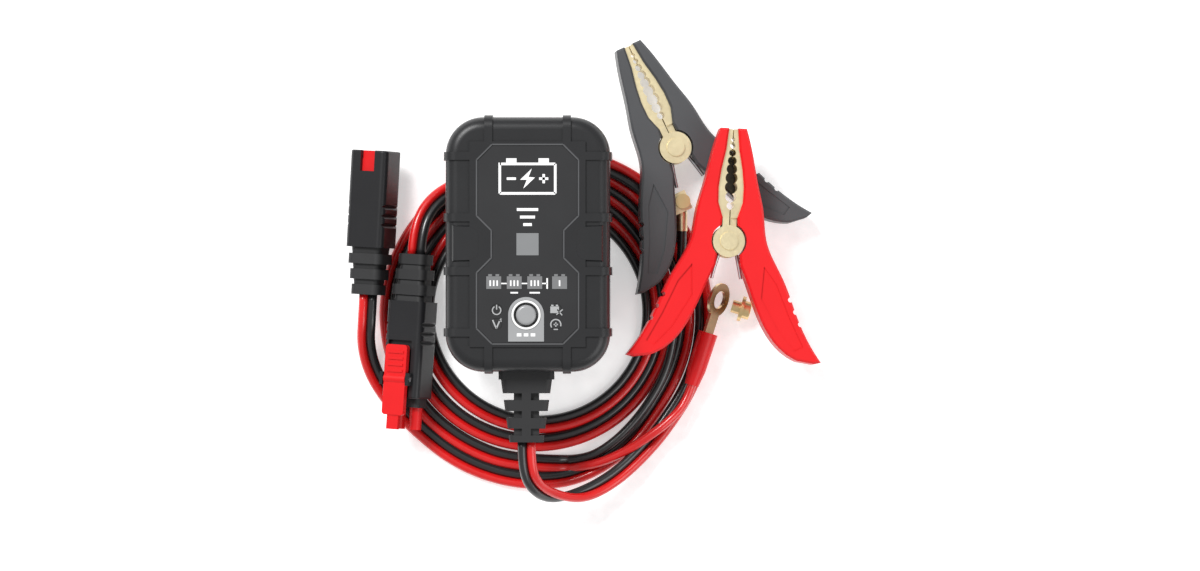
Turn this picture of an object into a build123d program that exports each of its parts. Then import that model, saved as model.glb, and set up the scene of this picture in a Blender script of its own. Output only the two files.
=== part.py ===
from build123d import *
from math import cos, pi, radians, sin, tan
import os

# Wall-plug battery charger with a twin lead, a two-way quick connector, two spring
# clamps and a ring terminal. It lies face up: floor at Z = 0, case centre on the Z axis.

os.makedirs("parts", exist_ok=True)


def save(piece, label):
    piece.part.label = label
    export_step(piece.part, f"parts/{label}.step")


# ---------------------------------------------------------------- charger sizes
case_width = 58.8
case_length = 90.2
case_depth = 33.0
case_corner = 14.0
case_edge = 4.0
case_draft = 2.0
wall = 2.4
rib_height = 0.7
rib_width = 2.8
rib_x = 13.6
rib_y_outer = 30.6
rib_y_inner = 9.3
gasket_thick = 0.6
seat_clearance = 0.1
working_gap = 0.3

blade_reach = 17.5
blade_pitch = 12.7
blade_width = 6.35
blade_thick = 1.5
carrier_width = 24.0
carrier_length = 13.0
carrier_height = 8.0

back_z = blade_reach
front_z = back_z + case_depth
split_z = back_z + case_depth / 2
rear_top = split_z - gasket_thick / 2
front_bottom = split_z + gasket_thick / 2
roof_z = front_z - wall
floor_z = back_z + wall

panel_half = 17.3
panel_waist = 12.2
panel_top = 34.2
panel_chamfer = 5.2
waist_half = 4.6
panel_thick = 1.0
panel_drop = 0.2
panel_z = front_z - panel_drop

window_size = 7.7
lamp_width = 5.2
lamp_height = 4.4
lamp_y = -13.3
lamp_x = (-11.7, -4.6, 2.5, 11.1)
icon_radius = 1.9
icon_spots = ((-10.7, -22.7), (-10.8, -27.6), (9.8, -22.5), (9.8, -27.6))

button_x = -0.5
button_y = -24.5
button_radius = 3.5
button_hole = 4.2
button_dome = 1.0
button_travel = 0.8
button_flange = 5.2
surround_radius = 5.1
surround_thick = 0.6
label_radius = 6.2
label_foot = 9.2
label_thick = 0.3

boss_x = 21.2
boss_y = 36.2
boss_radius = 3.4
screw_radius = 1.4
screw_head = 2.6
screw_head_thick = 1.6
screw_grip = 7.0

board_width = 50.0
board_length = 62.0
board_thick = 1.6
board_z = back_z + 20.5
board_top = board_z + board_thick
post_radius = 1.8
post_x = 20.0
post_y = 27.0
switch_size = 6.0
switch_height = 3.4
plunger_radius = 1.5

relief_x = -0.5
collar_width = 19.4
collar_height = 12.4
collar_end = 47.0
relief_end = 68.9
relief_tip_width = 11.8
relief_tip_height = 8.0
flange_thick = 2.0
flange_lip = 2.0

lead_diameter = 5.0
wire_diameter = 3.2


# ---------------------------------------------------------------- case shells
def case_block(z_from, z_to, inset, draft_up):
    """Half of the case as a solid block, inset all round by the given amount."""
    rise = abs(z_to - z_from) - inset
    seat = Plane((0, 0, z_from), z_dir=(0, 0, 1 if draft_up else -1))
    with BuildPart(mode=Mode.PRIVATE) as block:
        with BuildSketch(seat):
            RectangleRounded(case_width - 2 * inset, case_length - 2 * inset, case_corner - inset)
        extrude(amount=rise, taper=case_draft)
        fillet(block.faces().sort_by(Axis.Z)[-1 if draft_up else 0].edges(), case_edge)
    return block.part


def rib_bands(z_from, z_to):
    """The bands of the case that stand proud: the ribs and the frame of the panel."""
    middle = (z_from + z_to) / 2
    tall = abs(z_to - z_from) + 2
    with BuildPart(mode=Mode.PRIVATE) as bands:
        with Locations((-rib_x, 0, middle), (rib_x, 0, middle)):
            Box(rib_width, case_length + 2, tall)
        for y in (rib_y_outer, rib_y_inner, -rib_y_inner, -rib_y_outer):
            with Locations((0, y, middle)):
                Box(case_width + 2, rib_width, tall)
        with Locations((0, 0, middle)):
            Box(2 * panel_half + 2 * rib_width, 2 * panel_top + rib_width, tall)
    return bands.part


def boss_places(z):
    return [(sx * boss_x, sy * boss_y, z) for sx in (-1, 1) for sy in (-1, 1)]


def panel_outline(grow):
    """Waisted panel with chamfered corners, as a sketch face grown all round."""
    half = panel_half + grow
    waist = panel_waist + grow
    top = panel_top + grow
    right = [
        (half - panel_chamfer, top),
        (half, top - panel_chamfer),
        (half, waist_half + panel_half - panel_waist),
        (waist, waist_half - grow),
        (waist, grow - waist_half),
        (half, -waist_half - panel_half + panel_waist),
        (half, panel_chamfer - top),
        (half - panel_chamfer, -top),
    ]
    left = [(-x, y) for x, y in reversed(right)]
    with BuildSketch(mode=Mode.PRIVATE) as outline:
        Polygon(*right, *left, align=None)
    return outline.sketch


cavity_width = case_width - 2 * rib_height - 2 * wall
cavity_length = case_length - 2 * rib_height - 2 * wall
cavity_corner = case_corner - rib_height - wall
wall_inner_y = cavity_length / 2

with BuildPart() as rear_case:
    add(case_block(rear_top, back_z, rib_height, False))
    add(case_block(rear_top, back_z, 0, False) & rib_bands(back_z, rear_top))
    with BuildSketch(Plane.XY.offset(back_z)):
        Rectangle(carrier_width + 8, carrier_length + 10)
    extrude(amount=wall)
    with BuildSketch(Plane.XY.offset(floor_z)):
        RectangleRounded(cavity_width - 1.2, cavity_length - 1.2, cavity_corner)
    extrude(amount=rear_top - floor_z, mode=Mode.SUBTRACT)
    with BuildSketch(Plane.XY.offset(floor_z - wall / 2)):
        with Locations(*[(x, y) for x, y, z in boss_places(0)]):
            Circle(boss_radius)
    extrude(amount=rear_top - floor_z + wall / 2)
    with Locations(*boss_places(back_z)):
        Cylinder(screw_head + 0.2, 4.0)
        Cylinder(screw_radius + 0.2, 2 * case_depth, mode=Mode.SUBTRACT)
    with Locations(*boss_places(back_z)):
        Cylinder(screw_head + 0.2, 4.0, mode=Mode.SUBTRACT)
    with Locations((-blade_pitch / 2, 0, back_z), (blade_pitch / 2, 0, back_z)):
        slot = 2 * seat_clearance
        Box(blade_thick + slot, blade_width + slot, 3 * wall, mode=Mode.SUBTRACT)
    with Locations((relief_x, -case_length / 2, split_z)):
        slot = 2 * seat_clearance
        Box(collar_width + slot, 4 * wall, collar_height + slot, mode=Mode.SUBTRACT)
save(rear_case, "rear_case")

with BuildPart() as front_case:
    add(case_block(front_bottom, front_z, rib_height, True))
    add(case_block(front_bottom, front_z, 0, True) & rib_bands(front_bottom, front_z))
    with BuildSketch(Plane.XY.offset(front_bottom)):
        RectangleRounded(cavity_width - 1.2, cavity_length - 1.2, cavity_corner)
    extrude(amount=roof_z - rib_height - front_bottom, mode=Mode.SUBTRACT)
    with BuildSketch(Plane.XY.offset(front_bottom)):
        with Locations(*[(x, y) for x, y, z in boss_places(0)]):
            Circle(boss_radius)
    extrude(amount=roof_z - front_bottom)
    with BuildSketch(Plane.XY.offset(board_top)):
        with GridLocations(2 * post_x, 2 * post_y, 2, 2):
            Circle(post_radius)
    extrude(amount=roof_z - board_top)
    with Locations(*boss_places(front_bottom)):
        Cylinder(screw_radius + 0.05, 2 * (screw_grip + 1), mode=Mode.SUBTRACT)
    with BuildSketch(Plane.XY.offset(panel_z - panel_thick)):
        add(panel_outline(seat_clearance))
    extrude(amount=2 * panel_thick, mode=Mode.SUBTRACT)
    with BuildSketch(Plane.XY.offset(roof_z - 2 * rib_height)):
        with Locations((button_x, button_y)):
            Circle(button_hole)
        with Locations((0, 0)):
            Rectangle(window_size - 2, window_size - 2)
        with Locations(*[(x, lamp_y) for x in lamp_x]):
            Rectangle(lamp_width - 1.6, lamp_height - 1.6)
        with Locations(*icon_spots):
            Circle(icon_radius - 0.7)
    extrude(amount=3 * wall, mode=Mode.SUBTRACT)
    with Locations((relief_x, -case_length / 2, split_z)):
        slot = 2 * seat_clearance
        Box(collar_width + slot, 4 * wall, collar_height + slot, mode=Mode.SUBTRACT)
save(front_case, "front_case")

with BuildPart() as case_gasket:
    with BuildSketch(Plane.XY.offset(rear_top)):
        RectangleRounded(case_width - 2 * rib_height - 0.8, case_length - 2 * rib_height - 0.8, case_corner)
        RectangleRounded(cavity_width - 0.6, cavity_length - 0.6, cavity_corner, mode=Mode.SUBTRACT)
        with Locations((relief_x, -case_length / 2)):
            Rectangle(collar_width + 2 * seat_clearance, 4 * wall, mode=Mode.SUBTRACT)
    extrude(amount=gasket_thick)
    with Locations(*boss_places(split_z)):
        Cylinder(boss_radius + 0.4, 2 * case_depth, mode=Mode.SUBTRACT)
save(case_gasket, "case_gasket")

with BuildPart() as case_screws:
    head_z = back_z + 2.0 - screw_head_thick
    with Locations(*boss_places(head_z)):
        Cylinder(screw_head, screw_head_thick, align=(Align.CENTER, Align.CENTER, Align.MIN))
    with Locations(*boss_places(back_z + 2.0)):
        shank = front_bottom + screw_grip - back_z - 2.0
        Cylinder(screw_radius, shank, align=(Align.CENTER, Align.CENTER, Align.MIN))
    with Locations(*boss_places(head_z)):
        Box(3.2, 0.7, 1.2, mode=Mode.SUBTRACT)
        Box(0.7, 3.2, 1.2, mode=Mode.SUBTRACT)
save(case_screws, "case_screws")

# ---------------------------------------------------------------- panel and its lenses
with BuildPart() as face_panel:
    with BuildSketch(Plane.XY.offset(panel_z - panel_thick)):
        add(panel_outline(0))
        with Locations((button_x, button_y)):
            Circle(button_hole, mode=Mode.SUBTRACT)
        Rectangle(window_size + 0.2, window_size + 0.2, mode=Mode.SUBTRACT)
        with Locations(*[(x, lamp_y) for x in lamp_x]):
            Rectangle(lamp_width + 0.2, lamp_height + 0.2, mode=Mode.SUBTRACT)
        with Locations(*icon_spots):
            Circle(icon_radius + 0.1, mode=Mode.SUBTRACT)
    extrude(amount=panel_thick)
save(face_panel, "face_panel")

led_height = 1.2
guide_bottom = board_top + led_height + 0.4


def lens(spots, width, length):
    """Flush lenses with a stem that leads light up from the board."""
    with BuildPart(mode=Mode.PRIVATE) as lenses:
        with BuildSketch(Plane.XY.offset(panel_z - panel_thick)):
            with Locations(*spots):
                Rectangle(width, length)
        extrude(amount=panel_thick)
        with BuildSketch(Plane.XY.offset(guide_bottom)):
            with Locations(*spots):
                Rectangle(width - 2.4, length - 2.4)
        extrude(amount=panel_z - panel_thick - guide_bottom)
    return lenses.part


with BuildPart() as status_window:
    add(lens([(0, 0)], window_size, window_size))
save(status_window, "status_window")

with BuildPart() as battery_lamps:
    add(lens([(x, lamp_y) for x in lamp_x], lamp_width, lamp_height))
save(battery_lamps, "battery_lamps")

with BuildPart() as mode_lamps:
    with BuildSketch(Plane.XY.offset(panel_z - panel_thick)):
        with Locations(*icon_spots):
            Circle(icon_radius)
    extrude(amount=panel_thick)
    with BuildSketch(Plane.XY.offset(guide_bottom)):
        with Locations(*icon_spots):
            Circle(icon_radius - 0.9)
    extrude(amount=panel_z - panel_thick - guide_bottom)
save(mode_lamps, "mode_lamps")

with BuildPart() as button_label:
    with BuildSketch(Plane.XY.offset(panel_z)):
        with Locations((button_x, button_y)):
            Circle(label_radius)
        with Locations((button_x, button_y - label_foot / 2)):
            Rectangle(2 * label_radius, label_foot)
        with Locations((button_x, button_y)):
            Circle(surround_radius + 0.1, mode=Mode.SUBTRACT)
    extrude(amount=label_thick)
save(button_label, "button_label")

with BuildPart() as button_surround:
    with BuildSketch(Plane.XY.offset(panel_z)):
        with Locations((button_x, button_y)):
            Circle(surround_radius)
            Circle(button_hole + 0.1, mode=Mode.SUBTRACT)
    extrude(amount=surround_thick)
    fillet(button_surround.faces().sort_by(Axis.Z)[-1].edges(), 0.2)
save(button_surround, "button_surround")

# ---------------------------------------------------------------- mode button
flange_top = roof_z - rib_height - working_gap
switch_top = board_top + switch_height
plunger_top = switch_top + button_travel + working_gap

with BuildPart() as mode_button:
    with BuildSketch(Plane.XY.offset(plunger_top)):
        with Locations((button_x, button_y)):
            Circle(plunger_radius + 0.6)
    extrude(amount=flange_top - plunger_top)
    with BuildSketch(Plane.XY.offset(flange_top - 1.2)):
        with Locations((button_x, button_y)):
            Circle(button_flange)
    extrude(amount=1.2)
    with BuildSketch(Plane.XY.offset(flange_top)):
        with Locations((button_x, button_y)):
            Circle(button_radius)
    extrude(amount=panel_z + 0.7 + button_dome - flange_top)
    fillet(mode_button.edges().group_by(Axis.Z)[-1], button_dome)
save(mode_button, "mode_button")

with BuildPart() as switch_plunger:
    with BuildSketch(Plane.XY.offset(board_top + 1.9)):
        with Locations((button_x, button_y)):
            Circle(plunger_radius)
    extrude(amount=plunger_top - board_top - 1.9)
save(switch_plunger, "switch_plunger")

# ---------------------------------------------------------------- inside
with BuildPart() as circuit_board:
    with BuildSketch(Plane.XY.offset(board_z)):
        RectangleRounded(board_width, board_length, 2)
    extrude(amount=board_thick)
save(circuit_board, "circuit_board")

with BuildPart() as tactile_switch:
    with BuildSketch(Plane.XY.offset(board_top)):
        with Locations((button_x, button_y)):
            Rectangle(switch_size, switch_size)
    extrude(amount=switch_height)
    with BuildSketch(Plane.XY.offset(board_top + 1.0)):
        with Locations((button_x, button_y)):
            Circle(plunger_radius + 0.05)
    extrude(amount=switch_height, mode=Mode.SUBTRACT)
save(tactile_switch, "tactile_switch")

with BuildPart() as indicator_leds:
    with BuildSketch(Plane.XY.offset(board_top)):
        with Locations((0, 0), *[(x, lamp_y) for x in lamp_x], *icon_spots):
            Rectangle(2.0, 1.25)
    extrude(amount=led_height)
save(indicator_leds, "indicator_leds")

with BuildPart() as transformer:
    with BuildSketch(Plane.XY.offset(board_z)):
        with Locations((0, 18)):
            Rectangle(25, 17)
    extrude(amount=-15)
    with BuildSketch(Plane.XY.offset(board_z - 3.5)):
        with Locations((0, 18)):
            Rectangle(17, 22)
    extrude(amount=-8)
save(transformer, "transformer")

with BuildPart() as smoothing_capacitors:
    with BuildSketch(Plane.XY.offset(board_z)):
        with Locations((-12, -17)):
            Circle(6.2)
    extrude(amount=-17)
    with BuildSketch(Plane.XY.offset(board_z)):
        with Locations((9, -16)):
            Circle(4.0)
    extrude(amount=-13)
save(smoothing_capacitors, "smoothing_capacitors")

with BuildPart() as blade_carrier:
    with BuildSketch(Plane.XY.offset(floor_z)):
        Rectangle(carrier_width, carrier_length)
    extrude(amount=carrier_height)
    with Locations((-blade_pitch / 2, 0, floor_z), (blade_pitch / 2, 0, floor_z)):
        Box(blade_thick, blade_width, carrier_height, mode=Mode.SUBTRACT)
save(blade_carrier, "blade_carrier")

with BuildPart() as plug_blades:
    with BuildSketch(Plane.XY):
        with GridLocations(blade_pitch, 0, 2, 1):
            Rectangle(blade_thick, blade_width)
    extrude(amount=floor_z + carrier_height / 2)
    chamfer(plug_blades.faces().sort_by(Axis.Z)[:2].edges().filter_by(Axis.X), 1.4)
save(plug_blades, "plug_blades")


# ---------------------------------------------------------------- strain relief
def across(x, y, z, roll=0):
    """Plane square to Y at a point, with its X along the world's X."""
    return Plane((x, y, z), x_dir=(cos(radians(roll)), 0, sin(radians(roll))), z_dir=(0, -1, 0))


slot_y = (53.0, 59.2, 65.3)
slot_width = 2.4

with BuildPart() as strain_relief:
    with BuildSketch(across(relief_x, flange_thick + 0.6 - wall_inner_y, split_z)):
        RectangleRounded(collar_width + 2 * flange_lip, collar_height + 2 * flange_lip, 2)
    extrude(amount=flange_thick)
    with BuildSketch(across(relief_x, 0.6 - wall_inner_y, split_z)):
        RectangleRounded(collar_width, collar_height, 1.6)
    extrude(amount=collar_end - wall_inner_y + 0.6)
    with BuildSketch(across(relief_x, -collar_end, split_z)):
        RectangleRounded(collar_width - 1.6, collar_height - 1.2, 2)
    with BuildSketch(across(relief_x, -relief_end, split_z)):
        RectangleRounded(relief_tip_width, relief_tip_height, 2)
    loft()
    for y in slot_y:
        for sx in (-1, 1):
            for sz in (-1, 1):
                with Locations((relief_x + sx * (1.6 + 6), -y, split_z + sz * (3.0 + 4))):
                    Box(12, slot_width, 8, mode=Mode.SUBTRACT)
            with Locations((relief_x + sx * (4.4 + 4), -y, split_z)):
                Box(8, slot_width, 16, mode=Mode.SUBTRACT)
save(strain_relief, "strain_relief")

with BuildPart() as internal_leads:
    for x in (-4, 3):
        with BuildSketch(across(relief_x + x, flange_thick + 0.6 - wall_inner_y, board_z - 1.3)):
            Circle(1.3)
    extrude(amount=-12)
save(internal_leads, "internal_leads")


# ---------------------------------------------------------------- quick connector
coil_x = 3.1
coil_y = -23.9
coil_inner = 37.0
coil_outer = 63.3
coil_height = 4.4

shell_width = 14.5
shell_height = 12.7
shell_length = 34.0
shell_roll = 25.0
relief_length = 16.6
relief_width = 11.0
relief_height = 8.6
lean = radians(shell_roll)
shell_rise = (shell_width * sin(lean) + shell_height * cos(lean)) / 2

plug_start = Vector(-39.4, -3.3, coil_height + working_gap + shell_rise)
plug_along = Vector(-0.067, -0.998, 0).normalized()
socket_start = Vector(-56.3, -17.5, coil_height + working_gap + shell_rise)
socket_along = Vector(0.055, 0.998, 0).normalized()
upward = Vector(0, 0, 1)


def connector_plane(start, along, side):
    """Plane at the cord end of a connector, square to its length and rolled about it."""
    flat = along.cross(upward) * side
    rolled = flat * cos(lean) + upward * sin(lean)
    return Plane(start, x_dir=rolled * -side, z_dir=along)


plug_plane = connector_plane(plug_start, plug_along, -1)
socket_plane = connector_plane(socket_start, socket_along, 1)


def ringed_relief(seat):
    """Tapered core with three collars that grow towards the shell."""
    with BuildPart(mode=Mode.PRIVATE) as relief:
        with BuildSketch(seat):
            RectangleRounded(relief_width - 2, relief_height - 2, 2)
        with BuildSketch(seat.offset(relief_length)):
            RectangleRounded(shell_width - 3, shell_height - 3, 2)
        loft()
        for index in range(3):
            grow = index * (shell_width - relief_width) / 3
            with BuildSketch(seat.offset(index * 5.4)):
                RectangleRounded(relief_width + grow, relief_height + grow, 2.4)
            extrude(amount=3.6)
    return relief.part


def grooved_shell(seat):
    """Rounded shell with three shallow V grooves on each narrow side."""
    with BuildPart(mode=Mode.PRIVATE) as shell:
        with BuildSketch(seat.offset(relief_length)):
            RectangleRounded(shell_width, shell_height, 2.2)
        extrude(amount=shell_length)
        fillet(shell.faces().sort_by(Axis(seat.origin, seat.z_dir))[-1].edges(), 0.6)
        for side in (-1, 1):
            for index in range(3):
                depth = relief_length + 8.0 + 3.2 * index
                with Locations(seat.offset(depth).location):
                    with Locations(Location((side * shell_width / 2, 0, 0), (0, 45, 0))):
                        Box(1.3, 2 * shell_height, 1.3, mode=Mode.SUBTRACT)
    return shell.part


lever_x = -0.8
lever_width = 8.3
lever_thick = 2.2
lever_base = 6.9
lever_back = 32.0
lever_front = 56.7
lever_pivot = 44.0
pin_radius = 0.8
pin_height = lever_base + lever_thick / 2
ear_thick = 1.2
lever_side = 0.3
plug_end = relief_length + shell_length
barrel_pitch = 6.4
barrel_radius = 2.2

with BuildPart() as plug_relief:
    add(ringed_relief(plug_plane))
save(plug_relief, "plug_relief")


def plug_box(x, height, along, size_x, size_y, size_z, mode=Mode.ADD):
    with Locations(plug_plane.location):
        with Locations((x, height, along)):
            Box(size_x, size_y, size_z, mode=mode)


with BuildPart() as plug_shell:
    add(grooved_shell(plug_plane))
    middle = (lever_back + plug_end) / 2
    long = plug_end - lever_back + 1.2
    plug_box(lever_x, 4.8 + 5, middle, lever_width + 2 * lever_side, 10, long + 2, Mode.SUBTRACT)
    for side in (-1, 1):
        ear_x = lever_x + side * (lever_width / 2 + lever_side + ear_thick / 2)
        plug_box(ear_x, 7.4, lever_pivot, ear_thick, 4.4, 4.4)
    with Locations(plug_plane.location):
        with Locations(Location((lever_x, pin_height, lever_pivot), (0, 90, 0))):
            Cylinder(pin_radius + 0.03, 2 * shell_width, mode=Mode.SUBTRACT)
        for side in (-1, 1):
            with Locations((side * barrel_pitch / 2, -1.6, plug_end)):
                Cylinder(barrel_radius, 12, mode=Mode.SUBTRACT)
save(plug_shell, "plug_shell")

with BuildPart() as plug_seal:
    with BuildSketch(plug_plane.offset(plug_end)):
        with Locations((0, -1.4)):
            RectangleRounded(shell_width - 3, shell_height - 5, 1.6)
        for side in (-1, 1):
            with Locations((side * barrel_pitch / 2, -1.6)):
                Circle(barrel_radius, mode=Mode.SUBTRACT)
    extrude(amount=3.2)
save(plug_seal, "plug_seal")

with BuildPart() as plug_contacts:
    with BuildSketch(plug_plane.offset(plug_end - 6)):
        for side in (-1, 1):
            with Locations((side * barrel_pitch / 2, -1.6)):
                Circle(barrel_radius)
    extrude(amount=17)
    with BuildSketch(plug_plane.offset(plug_end + 5)):
        for side in (-1, 1):
            with Locations((side * barrel_pitch / 2, -1.6)):
                Circle(barrel_radius - 0.8)
    extrude(amount=8, mode=Mode.SUBTRACT)
save(plug_contacts, "plug_contacts")

with BuildPart() as release_lever:
    lever_middle = (lever_back + lever_front) / 2
    lever_height = lever_base + lever_thick / 2
    plug_box(lever_x, lever_height, lever_middle, lever_width, lever_thick, lever_front - lever_back)
    fillet(release_lever.edges().filter_by(Axis(plug_plane.origin, plug_plane.y_dir)), 1.2)
    plug_box(lever_x, lever_height, lever_front + 2.4, 4.4, lever_thick - 0.8, 5.2)
    plug_box(lever_x, lever_base - 0.6, lever_front - 1.0, lever_width - 2.4, 1.6, 1.4)
    with Locations(plug_plane.location):
        with Locations(Location((lever_x, pin_height, lever_pivot), (0, 90, 0))):
            Cylinder(pin_radius + 0.9, lever_width)
            Cylinder(pin_radius + 0.05, lever_width + 1, mode=Mode.SUBTRACT)
    for index in range(4):
        rib_along = lever_back + 2.6 + 2.2 * index
        plug_box(lever_x, lever_base + lever_thick, rib_along, lever_width - 2.4, 0.8, 0.9)
save(release_lever, "release_lever")

with BuildPart() as lever_pin:
    with Locations(plug_plane.location):
        with Locations(Location((lever_x, pin_height, lever_pivot), (0, 90, 0))):
            Cylinder(pin_radius, lever_width + 2 * lever_side + 2 * ear_thick)
save(lever_pin, "lever_pin")

insert_depth = 14.0
insert_drop = 3.0

with BuildPart() as socket_relief:
    add(ringed_relief(socket_plane))
save(socket_relief, "socket_relief")

with BuildPart() as socket_shell:
    add(grooved_shell(socket_plane))
    with BuildSketch(socket_plane.offset(plug_end - insert_depth)):
        RectangleRounded(shell_width - 3.2, shell_height - 3.2, 1)
    extrude(amount=insert_depth + 1, mode=Mode.SUBTRACT)
    with Locations(socket_plane.location):
        with Locations((0, shell_height / 2, plug_end - 3.6)):
            Box(5.4, 4.4, 7.4, mode=Mode.SUBTRACT)
save(socket_shell, "socket_shell")

with BuildPart() as socket_insert:
    with BuildSketch(socket_plane.offset(plug_end - insert_depth)):
        RectangleRounded(shell_width - 3.2, shell_height - 3.2, 1)
        for side in (-1, 1):
            with Locations((side * barrel_pitch / 2, -1.0)):
                Circle(barrel_radius + 0.1, mode=Mode.SUBTRACT)
    extrude(amount=insert_depth - insert_drop)
    with Locations(socket_plane.location):
        with Locations((0, shell_height / 2 - 2.6, plug_end - 3.6)):
            Box(5.2, 1.6, 7.0)
save(socket_insert, "socket_insert")

with BuildPart() as socket_pins:
    with BuildSketch(socket_plane.offset(plug_end - insert_depth)):
        for side in (-1, 1):
            with Locations((side * barrel_pitch / 2, -1.0)):
                Circle(1.3)
    extrude(amount=insert_depth - insert_drop - 0.8)
save(socket_pins, "socket_pins")

# ---------------------------------------------------------------- spring clamps
clamp_half = 6.0
clamp_gap = 0.4
clamp_up = Vector(0.07, 0.04, 1).normalized()
black_turn = 24.8
red_turn = -2.7
black_rest = 4.0
black_pivot = Vector(51.3, 34.0, black_rest + clamp_half)
red_offset = Vector(69.8 - 51.3, 1.05 - 34.0, 0)
red_climb = (2 * clamp_half + clamp_gap - clamp_up.dot(red_offset)) / clamp_up.Z
red_pivot = black_pivot + red_offset + Vector(0, 0, red_climb)

hub_radius = 5.6
hub_clear = 6.2
rivet_radius = 2.0
rivet_head = 3.05
rivet_proud = 0.9
outer_lug = (3.8, 5.0)
inner_lug = (2.3, 3.5)
jaw_half = 4.5
clamp_travel = 28.0
jaw_gap = 0.2
jaw_fit = 0.02
jaw_tip = (1.55, 39.2)
neck_low, neck_high, neck_side = 4.0, 8.6, 2.5
arm_edge = 0.7
pad_depth = 0.6
notch_radius = 0.9
grip_notches = [(22.4, -19.6), (24.4, -23.8), (26.3, -28.0)]
jaw_bites = [(12.4, 1.3), (15.5, 1.9), (18.8, 2.2), (22.1, 2.1), (25.2, 1.85), (28.1, 1.55), (30.9, 1.2), (33.4, 0.9), (35.6, 0.7)]

arm_inner = [(2.6, 8.2), (4.3, 13.5), (4.4, 19), (3.7, 25), (2.3, 32), (1.6, 39.5)]
arm_outer = [(4.6, 39.5), (7.0, 31), (9.4, 20), (11.6, 11), (13.3, 0), (19.5, -12.5), (25, -25.5), (34, -41)]
arm_heel = [(34, -41), (31.5, -41.6), (25.6, -40.8)]
arm_grip = [(25.6, -40.8), (18, -35.6), (9.4, -20.5), (4.4, -8.5)]
pad_inset = [(12.6, -8.4), (17.4, -14.5), (22.4, -26), (27.6, -36), (24.6, -37.6), (18.6, -31), (12, -19.6)]


def clamp_plane(pivot, turn):
    """Plane of a clamp's middle, with its Y towards the jaws."""
    tip = Vector(-sin(radians(turn)), cos(radians(turn)), 0)
    side = tip.cross(clamp_up).normalized()
    return Plane(pivot, x_dir=side, z_dir=clamp_up)


def arm_profile():
    """Right-hand arm: straight inside along the jaw, curved outside and along the grip."""
    with BuildSketch(mode=Mode.PRIVATE) as profile:
        with BuildLine():
            Polyline(*arm_inner, arm_outer[0])
            Spline(*arm_outer)
            Polyline(*arm_heel)
            Spline(*arm_grip)
            Line(arm_grip[-1], arm_inner[0])
        make_face()
    return profile.sketch


def clamp_arm():
    """Right-hand plastic arm, cut away round the brass hub."""
    with BuildPart(mode=Mode.PRIVATE) as arm:
        with BuildSketch(Plane.XY.offset(-clamp_half)):
            add(arm_profile())
        extrude(amount=2 * clamp_half)
        ends = arm.faces().filter_by(Axis.Z)
        chamfer(ends.edges(), arm_edge)
        for face_z in (-clamp_half, clamp_half):
            with BuildSketch(Plane.XY.offset(face_z - pad_depth)):
                Polygon(*pad_inset, align=None)
            extrude(amount=2 * pad_depth, mode=Mode.SUBTRACT)
        for u, v in grip_notches:
            with Locations((u, v, 0)):
                Cylinder(notch_radius, 4 * clamp_half, mode=Mode.SUBTRACT)
        Cylinder(hub_clear, 4 * clamp_half, mode=Mode.SUBTRACT)
    return arm.part


def clamp_jaw(lug):
    """Right-hand brass jaw with round bites along its edge and a pair of lugs round the rivet."""
    back = [(u - jaw_fit, v) for u, v in arm_inner[:-1]] + [jaw_tip]
    with BuildPart(mode=Mode.PRIVATE) as jaw:
        with BuildSketch(Plane.XY.offset(-jaw_half)):
            Polygon((jaw_gap, arm_inner[0][1]), *back, (jaw_gap, jaw_tip[1]), align=None)
            for v, radius in jaw_bites:
                with Locations((0, v)):
                    Circle(radius, mode=Mode.SUBTRACT)
        extrude(amount=2 * jaw_half)
        for side in (-1, 1):
            with BuildSketch(Plane.XY.offset(side * lug[0])):
                Circle(hub_radius)
                Polygon((jaw_gap, neck_low), (neck_side, neck_low), (neck_side, neck_high), (jaw_gap, neck_high), align=None)
            extrude(amount=side * (lug[1] - lug[0]))
        Cylinder(rivet_radius + 0.05, 4 * clamp_half, mode=Mode.SUBTRACT)
    return jaw.part


def clamp_rivet():
    with BuildPart(mode=Mode.PRIVATE) as rivet:
        Cylinder(rivet_radius, 2 * outer_lug[1])
        for side in (-1, 1):
            with BuildSketch(Plane.XY.offset(side * outer_lug[1])):
                Circle(rivet_head)
            extrude(amount=side * rivet_proud)
    return rivet.part


def clamp_spring():
    """Two close turns round the rivet and a leg along the inside of each handle."""
    with BuildPart(mode=Mode.PRIVATE) as spring:
        for level in (-0.7, 0.7):
            with Locations((0, 0, level)):
                Torus(3.6, 0.72)
        for side in (-1, 1):
            with BuildSketch(Plane((side * 1.5, -4.3, side * 0.7), z_dir=(side * 0.385, -1, 0))):
                Circle(0.7)
            extrude(amount=9)
    return spring.part


def other_side(piece):
    return mirror(piece, about=Plane.YZ, mode=Mode.PRIVATE)


moving_arm = clamp_arm()
fixed_arm = other_side(moving_arm)
moving_jaw = clamp_jaw(inner_lug)
fixed_jaw = other_side(clamp_jaw(outer_lug))

tab_thick = 1.2
tab_u = -7.6
tab_v = -18.2
terminal_u = -5.4
lug_thick = 1.0
lug_ring = 2.8
black_plane = clamp_plane(black_pivot, black_turn)
red_plane = clamp_plane(red_pivot, red_turn)

with BuildPart() as black_fixed_arm:
    with Locations(black_plane.location):
        add(fixed_arm)
        with Locations((tab_u, tab_v, tab_thick / 2)):
            Box(9.2, 7.2, tab_thick + 0.1, mode=Mode.SUBTRACT)
save(black_fixed_arm, "black_fixed_arm")

with BuildPart() as red_fixed_arm:
    with Locations(red_plane.location):
        add(fixed_arm)
save(red_fixed_arm, "red_fixed_arm")

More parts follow.
